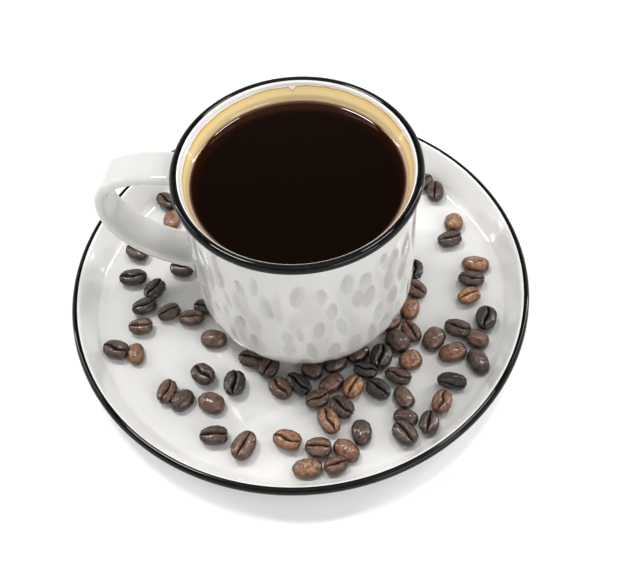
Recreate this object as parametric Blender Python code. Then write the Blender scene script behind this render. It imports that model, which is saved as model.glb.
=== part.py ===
"""Black coffee in a round mug, on its saucer, with roasted coffee beans lying round the mug.

The table is z = 0 and the saucer's centre is the origin. The mug stands a little off that centre and
its strap handle points along -X. Every length is in metres, but for the beans' plan, which is in
millimetres.
"""

from math import atan2, cos, degrees, hypot, pi, radians, sin
from typing import NamedTuple

import bmesh
import bpy
from mathutils import Matrix, Vector

MM = 0.001
GAP = 0.0003                 # air between pieces that rest on or fill each other
SIDES = 56                   # facets round the mug, the coffee and the saucer

# Saucer
SAUCER_RADIUS = 0.0900
SAUCER_HEIGHT = 0.0160
FLOOR_HEIGHT = 0.0034        # upper face of the flat well
FLOOR_RADIUS = 0.0780        # where the well starts to curve up
UNDERSIDE_HEIGHT = 0.0009
CORNER_RADIUS = 0.0050
WALL_LEAN = radians(60)      # slope of the saucer's wall above the horizontal
SAUCER_LIP = 0.0014          # radius of the rounded lip
FOOT_OUTER = 0.0560
FOOT_INNER = 0.0500

# Mug
MUG_CENTRE = (0.0029, 0.0016)
MUG_BASE = FLOOR_HEIGHT + GAP
MUG_RIM = 0.0814             # crest of the rolled lip
MUG_RADIUS = 0.0419          # outside of the straight wall
MUG_CORNER = 0.0200
LIP_RADIUS = 0.0017
LIP_CENTRE = 0.0422          # distance of the lip's middle line from the axis
MUG_FLOOR = MUG_BASE + 0.0045
INSIDE_RADIUS = 0.0379
INSIDE_CORNER = 0.0160
THROAT_HEIGHT = 0.0700       # above this the inner wall widens to the lip
THROAT_RADIUS = 0.0388
THROAT_TOP = 0.0760
FOOT_RECESS = 0.0008
RECESS_RADIUS = 0.0180

# Coffee
COFFEE_LEVEL = 0.0737

# Handle: a flat strap that leaves the wall under the lip and comes back to it low down
HANDLE_TURN = radians(170)
HANDLE_ROOT = 0.0400         # inside the mug's wall
HANDLE_REACH = 0.0730        # middle of the strap at its furthest
HANDLE_TOP = 0.0758
HANDLE_MIDDLE = 0.0560
HANDLE_BOTTOM = 0.0275
HANDLE_WIDTH_TOP = 0.0136
HANDLE_WIDTH_BOTTOM = 0.0158
HANDLE_THICKNESS = 0.0038
HANDLE_FLARE = 0.0018        # extra half width where the strap meets the wall
FLARE_LENGTH = 0.0050
TOP_SQUARENESS = 2.7
BOTTOM_SQUARENESS = 1.9
STRAP_STEPS = 11

# Beans. Plan outline and lengthwise profile are superellipses.
BEAN_POWER = 2.3
FACE_POWER = 4.0
BEAN_HEIGHT = 0.66           # height over width
BACK_SHARE = 0.62            # share of the height that the rounded back takes
BEAN_STATIONS = (-0.9, -0.52, 0.0, 0.52, 0.9)
BEAN_CLEAR = 0.4             # millimetres between neighbours
BEAN_BITE = 1.1              # millimetres that two joined beans share
BEAN_LIMIT = 81.2            # millimetres from the saucer's centre to a bean's outer end
MUG_LIMIT = 33.0             # millimetres from the mug's axis to a bean's inner edge

# Half sections from the flat face's middle to the back's middle: share of half width, height.
CREASED_HALF = ((0.0, 0.35), (0.13, 0.95), (0.62, 0.92), (0.97, 0.20), (0.74, -0.68), (0.0, -1.0))
SMOOTH_HALF = ((0.0, 0.90), (0.72, 0.80), (0.98, 0.0), (0.62, -0.78), (0.0, -1.0))


class Bean(NamedTuple):
    """One bean's plan: middle (mm), heading (degrees), which side is up, length and width (mm)."""

    x: float
    y: float
    turn: float
    up: str
    length: float = 10.4
    width: float = 7.4


# One row for each node. Where two beans touch they are one row and one solid.
BEANS = (
    (Bean(-56, 53, -40, "crease"),),
    (Bean(-53, 42, 80, "back"),),
    (Bean(-67, 26, -30, "crease"),),
    (Bean(-48, 16, -15, "crease", 10.0),),
    (Bean(-68, 13, 0, "crease", 11.4, 7.6),),
    (Bean(-59, 7, 55, "crease", 10.0, 7.6), Bean(-63, -2, 25, "crease", 10.4, 7.2)),
    (Bean(-53, -5, 30, "crease", 9.4, 7.0),),
    (Bean(-44, -9, 0, "crease", 10.2, 6.8), Bean(-38, -3, -5, "crease", 9.6, 7.0)),
    (Bean(-64, -11, 5, "crease", 9.6, 7.2),),
    (Bean(-74, -21, -20, "crease", 10.4, 8.0), Bean(-65, -23, 100, "back", 9.4, 6.8)),
    (Bean(-35, -19, -10, "back", 10.4, 8.0),),
    (Bean(-21, -29, -15, "crease", 10.4, 7.6), Bean(-13, -34, 60, "crease", 9.6, 7.6)),
    (Bean(-39, -35, -45, "crease", 10.0, 8.2),),
    (Bean(-27, -40, 85, "crease", 10.4, 8.6),),
    (Bean(-53, -41, 70, "crease", 10.2, 7.2), Bean(-47, -45, 40, "back", 10.0, 8.0)),
    (Bean(-36, -47, -30, "back", 10.6, 8.4),),
    (Bean(-35, -61, 0, "crease", 10.6, 7.6),),
    (Bean(-24, -66, 60, "crease", 11.8, 8.4),),
    (Bean(-9, -43, -55, "crease", 10.4, 7.8), Bean(-2, -41, -45, "crease", 11.0, 7.2)),
    (Bean(3, -37, -15, "back", 8.6, 7.8),),
    (Bean(-8, -65, -20, "crease", 10.8, 8.0),),
    (Bean(-1, -76, 0, "back", 11.0, 7.4),),
    (Bean(4, -69, -5, "crease", 9.8, 7.8),),
    (Bean(13, -70, -45, "back", 10.8, 7.6), Bean(9, -76, 15, "crease", 9.0, 6.8)),
    (Bean(19, -64, 90, "back", 10.4, 7.6),),
    (Bean(7, -59, -70, "crease", 11.4, 7.8), Bean(13, -52, -45, "crease", 10.2, 8.0)),
    (Bean(5, -48, 25, "crease", 9.6, 7.2), Bean(10, -42, 30, "back", 10.4, 7.0)),
    (Bean(18, -44, 60, "crease", 9.8, 7.8),),
    (Bean(27, -45, -45, "crease", 10.2, 7.8),),
    (Bean(13, -33, 20, "back", 9.4, 7.0),),
    (Bean(21, -30, 30, "back", 9.4, 6.8),),
    (Bean(22, -37, -20, "crease", 9.4, 7.0), Bean(29, -32, 75, "crease", 10.2, 8.8)),
    (Bean(33, -41, -25, "crease", 10.4, 6.6),),
    (Bean(36, -26, -45, "back", 10.6, 8.8), Bean(42, -24, -65, "crease", 10.0, 6.8)),
    (Bean(39, -35, 20, "back", 9.2, 8.2),),
    (Bean(36, -18, 30, "back", 9.4, 6.8),),
    (Bean(42, -12, 65, "back", 9.6, 7.2),),
    (Bean(46, -3, -45, "crease", 10.0, 7.6),),
    (Bean(47, 7, 75, "crease", 9.4, 6.8),),
    (Bean(50, -26, 55, "back", 10.6, 8.4),),
    (Bean(57, -32, 15, "back", 11.2, 7.8),),
    (Bean(60, -23, -20, "crease", 10.4, 7.6), Bean(67, -27, -40, "back", 9.4, 7.6)),
    (Bean(72, -19, 75, "crease", 10.6, 8.4),),
    (Bean(66, -37, -75, "back", 11.2, 7.8),),
    (Bean(55, -46, -15, "side", 11.2, 7.4),),
    (Bean(35, -49, -65, "back", 9.6, 7.0),),
    (Bean(37, -56, -15, "back", 9.4, 6.6), Bean(36, -63, -55, "crease", 10.4, 8.2)),
    (Bean(44, -61, 75, "crease", 9.6, 7.4),),
    (Bean(50, -54, 65, "crease", 9.8, 7.4),),
    (Bean(66, 30, 80, "back", 8.8, 8.0),),
    (Bean(63, 21, 15, "crease", 10.2, 7.4),),
    (Bean(72, 8, -15, "back", 11.2, 7.4),),
    (Bean(69, 0, -10, "crease", 10.6, 7.2),),
    (Bean(67, -7, 25, "crease", 9.4, 7.2),),
    (Bean(60, 47, 80, "crease", 10.2, 7.4), Bean(57, 54, 25, "crease", 9.8, 7.4)),
    (Bean(22, 63, 40, "crease", 10.4, 7.6), Bean(13, 67, -30, "back", 10.0, 7.6)),
    (Bean(-19, 60, 15, "crease", 10.2, 7.4),),
)

MATERIALS = {
    "glazed_stoneware": ((0.83, 0.81, 0.77), 0.18),
    "black_coffee": ((0.020, 0.008, 0.004), 0.08),
    "roasted_bean": ((0.085, 0.055, 0.042), 0.45),
}


def clear_objects() -> None:
    """Empty the scene."""
    for thing in list(bpy.data.objects):
        bpy.data.objects.remove(thing, do_unlink=True)


def make_material(name: str) -> bpy.types.Material:
    """Principled material of the given name, made once."""
    material = bpy.data.materials.get(name)
    if material is None:
        colour, roughness = MATERIALS[name]
        material = bpy.data.materials.new(name)
        material.use_nodes = True
        shader = material.node_tree.nodes["Principled BSDF"]
        shader.inputs["Base Color"].default_value = (*colour, 1.0)
        shader.inputs["Roughness"].default_value = roughness
        shader.inputs["Metallic"].default_value = 0.0
    return material


def make_object(name: str, bm: bmesh.types.BMesh, material: str) -> bpy.types.Object:
    """Turn a bmesh into a smooth shaded object of the scene."""
    bmesh.ops.recalc_face_normals(bm, faces=bm.faces)
    mesh = bpy.data.meshes.new(name)
    bm.to_mesh(mesh)
    bm.free()
    mesh.shade_smooth()
    mesh.set_sharp_from_angle(angle=radians(40))
    mesh.materials.append(make_material(material))
    thing = bpy.data.objects.new(name, mesh)
    bpy.context.scene.collection.objects.link(thing)
    return thing


def arc(centre_r: float, centre_z: float, radius: float, start: float, end: float, steps: int) -> list:
    """Points of an arc in the turning plane, angles in degrees from +r towards +z."""
    points = []
    for step in range(steps + 1):
        angle = radians(start + (end - start) * step / steps)
        points.append((centre_r + radius * cos(angle), centre_z + radius * sin(angle)))
    return points


def turned(profile: list) -> bmesh.types.BMesh:
    """Body of revolution about the z axis from a profile that starts and ends on the axis."""
    bm = bmesh.new()
    points = [bm.verts.new((r, 0.0, z)) for r, z in profile]
    edges = [bm.edges.new(pair) for pair in zip(points, points[1:])]
    bmesh.ops.spin(bm, geom=points + edges, cent=(0, 0, 0), axis=(0, 0, 1), angle=2 * pi, steps=SIDES,
                   use_merge=False, use_duplicate=False)
    bmesh.ops.remove_doubles(bm, verts=bm.verts, dist=1e-6)
    return bm


def tube(rings: list) -> bmesh.types.BMesh:
    """Closed body through equal rings of points, with both end rings filled."""
    bm = bmesh.new()
    loops = [[bm.verts.new(point) for point in ring] for ring in rings]
    count = len(loops[0])
    for near, far in zip(loops, loops[1:]):
        for k in range(count):
            following = (k + 1) % count
            bm.faces.new((near[k], near[following], far[following], far[k]))
    bm.faces.new(loops[0][::-1])
    bm.faces.new(loops[-1])
    return bm


def fuse(base: bpy.types.Object, others: list) -> None:
    """Join other closed bodies to the base with one applied Boolean union."""
    group = bpy.data.collections.new(base.name + "_joined")
    for other in others:
        group.objects.link(other)
    union = base.modifiers.new("union", "BOOLEAN")
    union.operation = "UNION"
    union.solver = "EXACT"
    union.operand_type = "COLLECTION"
    union.collection = group
    graph = bpy.context.evaluated_depsgraph_get()
    joined = bpy.data.meshes.new_from_object(base.evaluated_get(graph))
    base.modifiers.clear()
    base.data = joined
    for other in others:
        bpy.data.objects.remove(other, do_unlink=True)
    bpy.data.collections.remove(group)


def saucer_profile() -> list:
    """Well, raised wall, rounded lip, outside and foot ring."""
    corner_z = FLOOR_HEIGHT + CORNER_RADIUS
    lean = degrees(WALL_LEAN)
    inner = arc(FLOOR_RADIUS, corner_z, CORNER_RADIUS, -90, lean - 90, 4)
    lip_r = SAUCER_RADIUS - SAUCER_LIP
    lip_z = SAUCER_HEIGHT - SAUCER_LIP
    lip = arc(lip_r, lip_z, SAUCER_LIP, 180 - (90 - lean), lean - 90, 5)
    under = arc(FLOOR_RADIUS, UNDERSIDE_HEIGHT + 2 * CORNER_RADIUS, 2 * CORNER_RADIUS, lean - 100, -90, 3)
    profile = [(0.0, FLOOR_HEIGHT)] + inner + lip + under
    profile += [(FOOT_OUTER, UNDERSIDE_HEIGHT), (FOOT_OUTER, 0.0), (FOOT_INNER, 0.0)]
    profile += [(FOOT_INNER, UNDERSIDE_HEIGHT), (0.0, UNDERSIDE_HEIGHT)]
    return profile


def inside_profile(inset: float) -> list:
    """Mug's hollow from its middle up to the throat, shrunk by an inset."""
    corner_r = INSIDE_RADIUS - INSIDE_CORNER
    corner_z = MUG_FLOOR + INSIDE_CORNER
    profile = [(0.0, MUG_FLOOR + inset)]
    profile += arc(corner_r, corner_z, INSIDE_CORNER - inset, -90, 0, 4)
    profile.append((INSIDE_RADIUS - inset, THROAT_HEIGHT))
    return profile


def mug_profile() -> list:
    """Recessed base, rounded corner, straight wall, rolled lip and the hollow."""
    corner_r = MUG_RADIUS - MUG_CORNER
    profile = [(0.0, MUG_BASE + FOOT_RECESS), (RECESS_RADIUS - FOOT_RECESS, MUG_BASE + FOOT_RECESS)]
    profile += [(RECESS_RADIUS, MUG_BASE)]
    profile += arc(corner_r, MUG_BASE + MUG_CORNER, MUG_CORNER, -90, 0, 6)
    lip_z = MUG_RIM - LIP_RADIUS
    profile.append((MUG_RADIUS, lip_z - 1.5 * LIP_RADIUS))
    profile += arc(LIP_CENTRE, lip_z, LIP_RADIUS, -60, 180, 7)
    profile.append((THROAT_RADIUS, THROAT_TOP))
    profile += inside_profile(0.0)[::-1]
    return profile


def coffee_profile() -> list:
    """The hollow's own shape, a gap smaller, up to the level of the drink."""
    share = (COFFEE_LEVEL - THROAT_HEIGHT) / (THROAT_TOP - THROAT_HEIGHT)
    edge = INSIDE_RADIUS + share * (THROAT_RADIUS - INSIDE_RADIUS)
    return inside_profile(GAP) + [(edge - GAP, COFFEE_LEVEL), (0.0, COFFEE_LEVEL)]


def strap_path() -> list:
    """Middle of the handle's strap as (distance from the mug's axis, height), top joint first."""
    span = HANDLE_REACH - HANDLE_ROOT
    quarters = (
        (HANDLE_TOP - HANDLE_MIDDLE, TOP_SQUARENESS, range(STRAP_STEPS + 1)),
        (HANDLE_BOTTOM - HANDLE_MIDDLE, BOTTOM_SQUARENESS, range(STRAP_STEPS - 1, -1, -1)),
    )
    path = []
    for rise, power, steps in quarters:
        for step in steps:
            angle = pi / 2 * step / STRAP_STEPS
            out = HANDLE_ROOT + span * sin(angle) ** (2 / power)
            path.append((out, HANDLE_MIDDLE + rise * max(cos(angle), 0.0) ** (2 / power)))
    return path


def strap_ring(path: list, index: int) -> list:
    """Eight points round the strap at one place of its path."""
    before = path[max(index - 1, 0)]
    after = path[min(index + 1, len(path) - 1)]
    run = Vector((after[0] - before[0], after[1] - before[1])).normalized()
    outward = Vector((cos(HANDLE_TURN), sin(HANDLE_TURN), 0.0))
    sideways = Vector((-sin(HANDLE_TURN), cos(HANDLE_TURN), 0.0))
    normal = outward * -run.y + Vector((0.0, 0.0, run.x))
    along = index / (len(path) - 1)
    half_width = (HANDLE_WIDTH_TOP + along * (HANDLE_WIDTH_BOTTOM - HANDLE_WIDTH_TOP)) / 2
    clear_of_wall = (path[index][0] - MUG_RADIUS) / FLARE_LENGTH
    half_width += HANDLE_FLARE * max(0.0, 1.0 - max(clear_of_wall, 0.0)) ** 2
    half_thick = HANDLE_THICKNESS / 2
    middle = outward * path[index][0] + Vector((0.0, 0.0, path[index][1]))
    corners = ((1, 0.35), (0.72, 1), (-0.72, 1), (-1, 0.35), (-1, -0.35), (-0.72, -1), (0.72, -1), (1, -0.35))
    return [middle + sideways * (half_width * u) + normal * (half_thick * v) for u, v in corners]


def build_saucer() -> bpy.types.Object:
    """Saucer with a raised wall and a foot ring."""
    return make_object("saucer", turned(saucer_profile()), "glazed_stoneware")


def build_cup() -> bpy.types.Object:
    """Mug with its strap handle as one fired piece."""
    cup = make_object("cup", turned(mug_profile()), "glazed_stoneware")
    path = strap_path()
    rings = [strap_ring(path, index) for index in range(len(path))]
    strap = make_object("strap", tube(rings), "glazed_stoneware")
    fuse(cup, [strap])
    cup.location = (*MUG_CENTRE, 0.0)
    return cup


def build_coffee() -> bpy.types.Object:
    """The drink, solid up to its level."""
    coffee = make_object("coffee", turned(coffee_profile()), "black_coffee")
    coffee.location = (*MUG_CENTRE, 0.0)
    return coffee


def reach(bean: Bean, angle: float) -> float:
    """How far a bean's outline extends along a direction, in millimetres."""
    dual = BEAN_POWER / (BEAN_POWER - 1)
    turn = angle - radians(bean.turn)
    along = abs(bean.length / 2 * cos(turn)) ** dual
    across = abs(bean.width / 2 * sin(turn)) ** dual
    return (along + across) ** (1 / dual)


def clearance(one: Bean, two: Bean) -> tuple:
    """Widest gap between two outlines over 36 directions, and its direction. Overlap is negative."""
    best = (-100.0, 0.0)
    for step in range(36):
        angle = 2 * pi * step / 36
        apart = (two.x - one.x) * cos(angle) + (two.y - one.y) * sin(angle)
        best = max(best, (apart - reach(one, angle) - reach(two, angle + pi), angle))
    return best


def kept_on_saucer(bean: Bean) -> Bean:
    """The bean moved in from the saucer's wall and out from under the mug."""
    angle = atan2(bean.y, bean.x)
    excess = max(0.0, hypot(bean.x, bean.y) + reach(bean, angle) - BEAN_LIMIT)
    bean = bean._replace(x=bean.x - excess * cos(angle), y=bean.y - excess * sin(angle))
    mug_x, mug_y = MUG_CENTRE[0] / MM, MUG_CENTRE[1] / MM
    angle = atan2(bean.y - mug_y, bean.x - mug_x)
    lack = MUG_LIMIT + reach(bean, angle + pi) - hypot(bean.x - mug_x, bean.y - mug_y)
    lack = max(0.0, lack)
    return bean._replace(x=bean.x + lack * cos(angle), y=bean.y + lack * sin(angle))


def settled(rows: tuple, rounds: int = 160) -> list:
    """Nudge the beans until neighbours clear each other and joined ones just meet."""
    beans = [bean for row in rows for bean in row]
    owner = [number for number, row in enumerate(rows) for _ in row]
    pairs = [(i, j) for j in range(len(beans)) for i in range(j)
             if hypot(beans[i].x - beans[j].x, beans[i].y - beans[j].y) < 18]
    for _ in range(rounds):
        for i, j in pairs:
            one, two = beans[i], beans[j]
            if hypot(one.x - two.x, one.y - two.y) > 14:
                continue
            gap, angle = clearance(one, two)
            joined = owner[i] == owner[j]
            shift = (gap + BEAN_BITE) / 2 if joined else min(0.0, gap - BEAN_CLEAR) / 2
            beans[i] = one._replace(x=one.x + shift * cos(angle), y=one.y + shift * sin(angle))
            beans[j] = two._replace(x=two.x - shift * cos(angle), y=two.y - shift * sin(angle))
        beans = [kept_on_saucer(bean) for bean in beans]
    placed = iter(beans)
    return [[next(placed) for _ in row] for row in rows]


def bean_section(half: tuple, station: float, size: Vector) -> list:
    """Ring of points round a bean lying crease up, at a station from -1 to 1 of its length."""
    plan = (1 - abs(station) ** BEAN_POWER) ** (1 / BEAN_POWER)
    face = (1 - abs(station) ** FACE_POWER) ** (1 / FACE_POWER)
    back_depth = size.z * BACK_SHARE * plan
    face_depth = size.z * (1 - BACK_SHARE) * face
    outline = [(y, z) for y, z in half] + [(-y, z) for y, z in half[-2:0:-1]]
    return [Vector((station * size.x / 2, y * plan * size.y / 2, z * (face_depth if z > 0 else back_depth)))
            for y, z in outline]


def bean_mesh(bean: Bean) -> bmesh.types.BMesh:
    """A bean in its place: rounded back, flat face with a crease, pointed ends closed."""
    size = Vector((bean.length, bean.width, bean.width * BEAN_HEIGHT)) * MM
    half = SMOOTH_HALF if bean.up == "back" else CREASED_HALF
    rings = [bean_section(half, station, size) for station in BEAN_STATIONS]
    bm = bmesh.new()
    loops = [[bm.verts.new(point) for point in ring] for ring in rings]
    count = len(loops[0])
    tips = (bm.verts.new((-size.x / 2, 0.0, 0.0)), bm.verts.new((size.x / 2, 0.0, 0.0)))
    for k in range(count):
        following = (k + 1) % count
        for near, far in zip(loops, loops[1:]):
            bm.faces.new((near[k], near[following], far[following], far[k]))
        bm.faces.new((tips[0], loops[0][following], loops[0][k]))
        bm.faces.new((tips[1], loops[-1][k], loops[-1][following]))
    roll = {"crease": 0.0, "back": pi, "side": radians(75)}[bean.up]
    turn = Matrix.Rotation(radians(bean.turn), 4, "Z") @ Matrix.Rotation(roll, 4, "X")
    bm.transform(turn)
    lowest = min(vert.co.z for vert in bm.verts)
    bmesh.ops.translate(bm, verts=bm.verts, vec=(bean.x * MM, bean.y * MM, FLOOR_HEIGHT + GAP - lowest))
    bmesh.ops.triangulate(bm, faces=bm.faces)
    return bm


def build_beans() -> list:
    """Every bean on the saucer, joined where two of them touch."""
    nodes = []
    for number, row in enumerate(settled(BEANS), start=1):
        name = f"bean_{number:02d}"
        first = make_object(name, bean_mesh(row[0]), "roasted_bean")
        if len(row) > 1:
            others = [make_object(name + "_other", bean_mesh(bean), "roasted_bean") for bean in row[1:]]
            fuse(first, others)
        nodes.append(first)
    return nodes


def main() -> None:
    """Model the saucer, the mug, the coffee and the beans."""
    clear_objects()
    build_saucer()
    build_cup()
    build_coffee()
    build_beans()


main()
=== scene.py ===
"""Black coffee in a hammered white mug, on its saucer, with roasted beans strewn round the mug.

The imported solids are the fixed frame. The mug, its coffee, the saucer and each bean are modelled
again here with their full detail, in the places and at the sizes of the solids they stand for.
The table is z = 0, the saucer's centre is the origin, and the camera looks along +Y. Lengths are
metres, but for the table of beans, which is in millimetres and degrees.
"""

import logging
from dataclasses import dataclass
from enum import Enum
from math import cos, pi, radians, sin
from random import Random

import bpy
import numpy as np
from mathutils import Matrix, Vector, noise


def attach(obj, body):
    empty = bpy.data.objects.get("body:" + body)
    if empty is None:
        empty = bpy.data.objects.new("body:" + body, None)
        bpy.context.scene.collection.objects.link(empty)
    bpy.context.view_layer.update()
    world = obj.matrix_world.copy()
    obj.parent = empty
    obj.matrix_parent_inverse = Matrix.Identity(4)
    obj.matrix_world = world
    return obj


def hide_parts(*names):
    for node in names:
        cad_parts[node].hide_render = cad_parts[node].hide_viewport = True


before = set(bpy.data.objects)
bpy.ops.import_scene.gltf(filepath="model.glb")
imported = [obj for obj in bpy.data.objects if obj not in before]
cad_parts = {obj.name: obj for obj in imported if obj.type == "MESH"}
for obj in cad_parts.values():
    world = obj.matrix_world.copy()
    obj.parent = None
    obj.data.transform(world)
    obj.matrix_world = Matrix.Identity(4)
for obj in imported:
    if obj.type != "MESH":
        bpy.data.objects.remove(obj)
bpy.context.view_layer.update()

log = logging.getLogger("coffee")

MM = 0.001
BODY = "root"
RESTING = 0.00003            # air left between pieces that rest on each other
FLOOR_HEIGHT = 0.0034        # upper face of the saucer's well
MUG_CENTRE = Vector((0.0029, 0.0016, 0.0))
MUG_RADIUS = 0.0419          # outside of the straight wall
COFFEE_LEVEL = 0.07355
COFFEE_CLIMB = 0.00115       # how far the coffee's edge is drawn up the wall

Colour = tuple[float, float, float]
Triple = tuple[float, float, float]    # three lengths, or a factor for each
Point = tuple[float, float]            # distance from the axis, and height
Range = tuple[float, float]            # smallest and largest
Outline = list[Point]
Piece = bpy.types.Object
Material = bpy.types.Material
Socket = bpy.types.NodeSocket

NONE: Colour = (0.0, 0.0, 0.0)
FULL: Colour = (1.0, 1.0, 1.0)


# Small tools for working in Blender


def deselect_all() -> None:
    """Leave edit mode and select nothing, so that an operator acts only on what follows."""
    if bpy.context.object and bpy.context.object.mode != "OBJECT":
        bpy.ops.object.mode_set(mode="OBJECT")
    bpy.ops.object.select_all(action="DESELECT")


def activate(thing: Piece) -> None:
    """Select one object alone and make it the active one.

    Args:
        thing: The object to work on.
    """
    deselect_all()
    thing.select_set(True)
    bpy.context.view_layer.objects.active = thing


def apply_modifier(thing: Piece, kind: str, **settings: object) -> None:
    """Add a modifier, set it up and apply it.

    Args:
        thing: The object that gets the modifier.
        kind: The modifier's type, as Blender names it.
        **settings: Its properties.
    """
    activate(thing)
    bpy.ops.object.modifier_add(type=kind)
    modifier = thing.modifiers[-1]
    for key, value in settings.items():
        setattr(modifier, key, value)
    bpy.ops.object.modifier_apply(modifier=modifier.name)


def arc(centre_r: float, centre_z: float, radius: float, start: float, end: float,
        steps: int) -> Outline:
    """Points of an arc in the turning plane.

    Args:
        centre_r: Distance of the arc's centre from the axis.
        centre_z: Height of the arc's centre.
        radius: Radius of the arc.
        start: First angle in degrees, from outwards towards upwards.
        end: Last angle in degrees.
        steps: Number of chords.

    Returns:
        The points.
    """
    angles = np.radians(np.linspace(start, end, steps + 1))
    return [(centre_r + radius * cos(a), centre_z + radius * sin(a)) for a in angles]


def straight(start: Point, end: Point, steps: int) -> Outline:
    """Points between two others, without the first and with the last.

    Args:
        start: The point before the first one returned.
        end: The last point returned.
        steps: How many points are returned.

    Returns:
        The points.
    """
    shares = [k / steps for k in range(1, steps + 1)]
    run, rise = end[0] - start[0], end[1] - start[1]
    return [(start[0] + run * share, start[1] + rise * share) for share in shares]


def lathe(name: str, profile: Outline, steps: int) -> Piece:
    """Turn a closed body: one vertex is extruded along the profile, and the line is spun.

    Args:
        name: The new object's name.
        profile: The outline, its first and last point on the axis.
        steps: Facets round the axis.

    Returns:
        The body, turned about the world's z axis, with its faces outwards.
    """
    deselect_all()
    bpy.ops.mesh.primitive_plane_add(size=MM)
    body = bpy.context.object
    body.name = body.data.name = name
    bpy.ops.object.mode_set(mode="EDIT")
    bpy.ops.mesh.select_mode(type="VERT")
    bpy.ops.mesh.select_all(action="SELECT")
    bpy.ops.mesh.merge(type="CENTER")
    bpy.ops.transform.translate(value=(profile[0][0], 0.0, profile[0][1]))
    for near, far in zip(profile, profile[1:]):
        step = (far[0] - near[0], 0.0, far[1] - near[1])
        bpy.ops.mesh.extrude_region_move(TRANSFORM_OT_translate={"value": step})
    bpy.ops.mesh.select_all(action="SELECT")
    bpy.ops.mesh.spin(steps=steps, angle=2 * pi, center=(0.0, 0.0, 0.0), axis=(0.0, 0.0, 1.0))
    bpy.ops.mesh.select_all(action="SELECT")
    bpy.ops.mesh.remove_doubles(threshold=1e-6)
    bpy.ops.mesh.normals_make_consistent(inside=False)
    bpy.ops.object.mode_set(mode="OBJECT")
    return body


def rows_of(parts: bpy.types.bpy_prop_collection, name: str) -> np.ndarray:
    """Three numbers of every vertex or face of a mesh.

    Args:
        parts: The mesh's vertices or faces.
        name: The property that holds the numbers.

    Returns:
        One row for each vertex or face.
    """
    numbers = np.empty(len(parts) * 3)
    parts.foreach_get(name, numbers)
    return numbers.reshape(-1, 3)


def vertex_places(thing: Piece) -> np.ndarray:
    """Places of an object's vertices, one row each."""
    return rows_of(thing.data.vertices, "co")


def face_centres(thing: Piece) -> np.ndarray:
    """Centres of an object's faces, one row each."""
    return rows_of(thing.data.polygons, "center")


def move_vertices(thing: Piece, places: np.ndarray) -> None:
    """Give an object's vertices new places, one row each."""
    thing.data.vertices.foreach_set("co", places.ravel())
    thing.data.update()


def store(thing: Piece, name: str, values: np.ndarray) -> None:
    """Store one number for each vertex of an object, for its material to read."""
    stored = thing.data.attributes.new(name, "FLOAT", "POINT")
    stored.data.foreach_set("value", values.astype(np.float32))


def smooth(thing: Piece, angle: float = 40.0) -> None:
    """Shade an object smoothly, but for edges sharper than an angle in degrees."""
    activate(thing)
    bpy.ops.object.shade_smooth_by_angle(angle=radians(angle))


def settle_piece(thing: Piece, slot: str, *nodes: str) -> None:
    """Fix a finished piece in the frame and let it stand for its solids.

    Args:
        thing: The finished piece.
        slot: Not used.
        *nodes: The solids that it stands for.
    """
    activate(thing)
    bpy.ops.object.transform_apply(location=True, rotation=True, scale=True)
    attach(thing, BODY)
    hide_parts(*nodes)
    log.info("%s: %d faces, stands for %s", thing.name, len(thing.data.polygons), ", ".join(nodes))


# Finishes


class Nodes:
    """A node tree, with short ways to add nodes and to join them."""

    def __init__(self, tree: bpy.types.NodeTree) -> None:
        """Work in the given tree."""
        self.tree = tree

    def feed(self, target: Socket, source: object) -> None:
        """Join an output to an input, or set the input where a plain value is given.

        Args:
            target: The input.
            source: An output or a plain value.
        """
        if isinstance(source, Socket):
            self.tree.links.new(source, target)
        else:
            target.default_value = source

    def node(self, kind: str, inputs: dict | None = None, **settings: object) -> bpy.types.Node:
        """Add a node, set its properties and feed its inputs.

        Args:
            kind: The node's type without its prefix.
            inputs: A value or an output for each input that is fed, by name or number.
            **settings: The node's properties.

        Returns:
            The new node.
        """
        made = self.tree.nodes.new("ShaderNode" + kind)
        for key, value in settings.items():
            setattr(made, key, value)
        for key, source in (inputs or {}).items():
            self.feed(made.inputs[key], source)
        return made

    def parts(self, vector: Socket) -> bpy.types.bpy_prop_collection:
        """The three numbers of a vector, as outputs named X, Y and Z."""
        return self.node("SeparateXYZ", {"Vector": vector}).outputs

    def math(self, operation: str, *numbers: object) -> Socket:
        """One step of arithmetic.

        Args:
            operation: Blender's name for the step.
            *numbers: Up to three numbers or outputs.

        Returns:
            The result's socket.
        """
        return self.node("Math", dict(enumerate(numbers)), operation=operation).outputs[0]

    def noise(self, vector: Socket, scale: float, detail: float = 3.0, roughness: float = 0.5,
              distortion: float = 0.0) -> Socket:
        """Cloudy noise from 0 to 1.

        Args:
            vector: The coordinates to read.
            scale: Clouds in each metre.
            detail: Octaves of finer clouds.
            roughness: Weight of the finer clouds.
            distortion: How far the clouds are stirred.

        Returns:
            The noise's socket.
        """
        inputs = {"Vector": vector, "Scale": scale, "Detail": detail, "Roughness": roughness,
                  "Distortion": distortion}
        return self.node("TexNoise", inputs).outputs["Fac"]

    def ramp(self, factor: Socket, *stops: tuple[float, Colour]) -> Socket:
        """Colours laid along a factor.

        Args:
            factor: The number that picks the colour.
            *stops: Pairs of a place from 0 to 1 and a colour.

        Returns:
            The colour's socket.
        """
        made = self.node("ValToRGB", {"Fac": factor})
        points = made.color_ramp.elements
        while len(points) < len(stops):
            points.new(0.5)
        for point, (position, colour) in zip(points, stops):
            point.position = position
            point.color = (*colour, 1.0)
        return made.outputs["Color"]

    def blend(self, factor: object, first: object, second: object) -> Socket:
        """Two colours mixed by a factor.

        Args:
            factor: Share of the second colour.
            first: A colour or an output.
            second: A colour or an output.

        Returns:
            The mixed colour's socket.
        """
        first, second = (c if isinstance(c, Socket) else (*c, 1.0) for c in (first, second))
        return self.node("Mix", {0: factor, 6: first, 7: second}, data_type="RGBA").outputs[2]


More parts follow.
